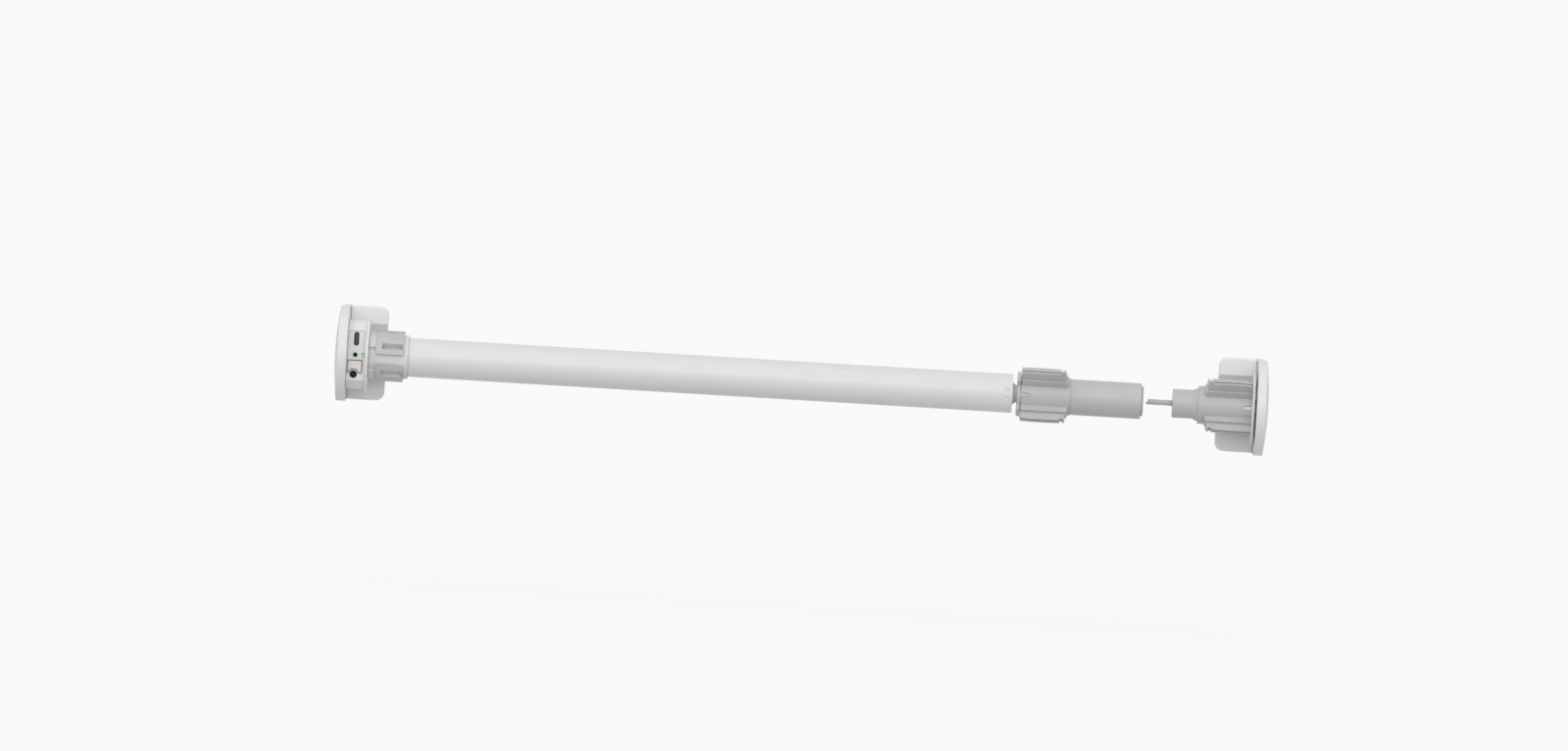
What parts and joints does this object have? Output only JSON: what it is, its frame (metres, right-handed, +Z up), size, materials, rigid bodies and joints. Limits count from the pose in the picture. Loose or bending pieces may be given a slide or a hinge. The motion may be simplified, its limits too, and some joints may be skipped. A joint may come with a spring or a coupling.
{
  "type": "roller shade motor",
  "caption": "Battery tubular motor for a roller shade, with a charging head, free crown, ribbed drive adapter, sprung idler and a covered wall bracket at each end.",
  "frame": {"origin": "middle of the left bracket's wall fixing, on the wall plane, level with the motor's axis", "axes": "+X along the motor from its head to the idler, +Y into the wall, +Z up"},
  "size_m": [0.601, 0.0664, 0.0608],
  "materials": {
    "cover_white": "fine matt moulded",
    "head_white": "fine matt moulded",
    "tube_white": "smooth powder coat",
    "light_plastic": "fine matt moulded",
    "grey_plastic": "fine matt moulded",
    "dark_shaft": "satin",
    "bracket_white": "smooth powder coat",
    "zinc_steel": "zinc plated",
    "spring_steel": "bright drawn",
    "gear_steel": "sintered",
    "brass_gear": "machined",
    "brass_contacts": "pressed",
    "bronze": "sintered",
    "port_metal": "dark plated",
    "black_plastic": "soft matt",
    "dark_plastic": "matt moulded",
    "lens_green": "clear gloss",
    "board_green": "lacquered",
    "cell_jacket": "shrink wrapped",
    "magnet": "sintered",
    "rotor_steel": "stacked sheet"
  },
  "bodies": {
    "fixed": {"cap_left": "cover_white", "cap_right": "cover_white", "hood_left": "cover_white", "hood_right": "cover_white", "bracket_left": "bracket_white", "bracket_right": "bracket_white", "socket_bush": "light_plastic", "head_housing": "head_white", "head_flange": "head_white", "head_board": "board_green", "usb_shell": "port_metal", "usb_tongue": "dark_plastic", "button_bezel": "light_plastic", "led_lenses": "lens_green", "latch_spring": "spring_steel", "motor_tube": "tube_white", "tube_end_ring": "tube_white", "output_bearing": "bronze", "inner_tray": "dark_plastic", "battery_cells": "cell_jacket", "battery_contacts": "brass_contacts", "control_board": "board_green", "board_parts": "black_plastic", "motor_can": "zinc_steel", "motor_end_cap": "dark_plastic", "motor_magnets": "magnet", "ring_gear": "light_plastic"},
    "crown": {"crown_ring": "light_plastic", "crown_keys": "grey_plastic"},
    "drive": {"output_shaft": "dark_shaft", "drive_hub": "grey_plastic", "drive_adapter": "grey_plastic", "hub_end_ring": "grey_plastic", "hub_screw": "spring_steel", "carrier_2": "gear_steel", "planet_pins_2": "spring_steel"},
    "first_carrier": {"carrier_1": "gear_steel", "planet_pins_1": "spring_steel", "sun_gear_2": "gear_steel"},
    "rotor": {"motor_rotor": "rotor_steel", "rotor_shaft": "spring_steel", "sun_gear_1": "brass_gear"},
    "idler": {"idler_hub": "grey_plastic", "idler_adapter": "grey_plastic", "idler_flange": "grey_plastic", "idler_spring": "spring_steel"},
    "spindle": {"idler_spindle": "zinc_steel", "spring_collar": "gear_steel"},
    "program_button": {"program_button": "black_plastic"},
    "reset_button": {"reset_button": "black_plastic"},
    "release_latch": {"release_latch": "head_white"},
    "planet_1a": {"planet_1a": "gear_steel"},
    "planet_1b": {"planet_1b": "gear_steel"},
    "planet_1c": {"planet_1c": "gear_steel"},
    "planet_2a": {"planet_2a": "gear_steel"},
    "planet_2b": {"planet_2b": "gear_steel"},
    "planet_2c": {"planet_2c": "gear_steel"}
  },
  "joints": [
    {"name": "crown_spin", "type": "hinge", "parent": "fixed", "child": "crown", "pos_m": [0.0145, -0.036, 0], "axis": [1, 0, 0], "continuous": true},
    {"name": "drive_spin", "type": "hinge", "parent": "fixed", "child": "drive", "pos_m": [0.43, -0.036, 0], "axis": [1, 0, 0], "continuous": true},
    {"name": "first_carrier_spin", "type": "hinge", "parent": "fixed", "child": "first_carrier", "pos_m": [0.392, -0.036, 0], "axis": [1, 0, 0], "continuous": true},
    {"name": "rotor_spin", "type": "hinge", "parent": "fixed", "child": "rotor", "pos_m": [0.352, -0.036, 0], "axis": [1, 0, 0], "continuous": true},
    {"name": "planet_1a_spin", "type": "hinge", "parent": "first_carrier", "child": "planet_1a", "pos_m": [0.3862, -0.03, 0], "axis": [1, 0, 0], "continuous": true},
    {"name": "planet_2a_spin", "type": "hinge", "parent": "drive", "child": "planet_2a", "pos_m": [0.3984, -0.03, 0], "axis": [1, 0, 0], "continuous": true},
    {"name": "planet_1b_spin", "type": "hinge", "parent": "first_carrier", "child": "planet_1b", "pos_m": [0.3862, -0.039, 0.0052], "axis": [1, 0, 0], "continuous": true},
    {"name": "planet_2b_spin", "type": "hinge", "parent": "drive", "child": "planet_2b", "pos_m": [0.3984, -0.039, 0.0052], "axis": [1, 0, 0], "continuous": true},
    {"name": "planet_1c_spin", "type": "hinge", "parent": "first_carrier", "child": "planet_1c", "pos_m": [0.3862, -0.039, -0.0052], "axis": [1, 0, 0], "continuous": true},
    {"name": "planet_2c_spin", "type": "hinge", "parent": "drive", "child": "planet_2c", "pos_m": [0.3984, -0.039, -0.0052], "axis": [1, 0, 0], "continuous": true},
    {"name": "idler_spin", "type": "hinge", "parent": "fixed", "child": "idler", "pos_m": [0.56, -0.036, 0], "axis": [1, 0, 0], "continuous": true},
    {"name": "idler_plunge", "type": "slide", "parent": "idler", "child": "spindle", "axis": [-1, 0, 0], "range_m": [0, 0.006], "stiffness_N_per_m": 400, "springref_m": -0.01, "deforming": ["idler_spring"]},
    {"name": "program_button_press", "type": "slide", "parent": "fixed", "child": "program_button", "axis": [0, 1, 0], "range_m": [0, 0.0006], "stiffness_N_per_m": 600, "springref_m": -0.001},
    {"name": "reset_button_press", "type": "slide", "parent": "fixed", "child": "reset_button", "axis": [0, 1, 0], "range_m": [0, 0.0006], "stiffness_N_per_m": 600, "springref_m": -0.001},
    {"name": "latch_press", "type": "slide", "parent": "fixed", "child": "release_latch", "axis": [0, 1, 0], "range_m": [0, 0.0012], "stiffness_N_per_m": 400, "springref_m": -0.001, "deforming": ["latch_spring"]}
  ],
  "couplings": [
    {"joint": "first_carrier_spin", "follows": "drive_spin", "ratio": 4},
    {"joint": "rotor_spin", "follows": "drive_spin", "ratio": 16},
    {"joint": "planet_2a_spin", "follows": "drive_spin", "ratio": -3},
    {"joint": "planet_1a_spin", "follows": "drive_spin", "ratio": -12},
    {"joint": "planet_2b_spin", "follows": "drive_spin", "ratio": -3},
    {"joint": "planet_1b_spin", "follows": "drive_spin", "ratio": -12},
    {"joint": "planet_2c_spin", "follows": "drive_spin", "ratio": -3},
    {"joint": "planet_1c_spin", "follows": "drive_spin", "ratio": -12}
  ]
}
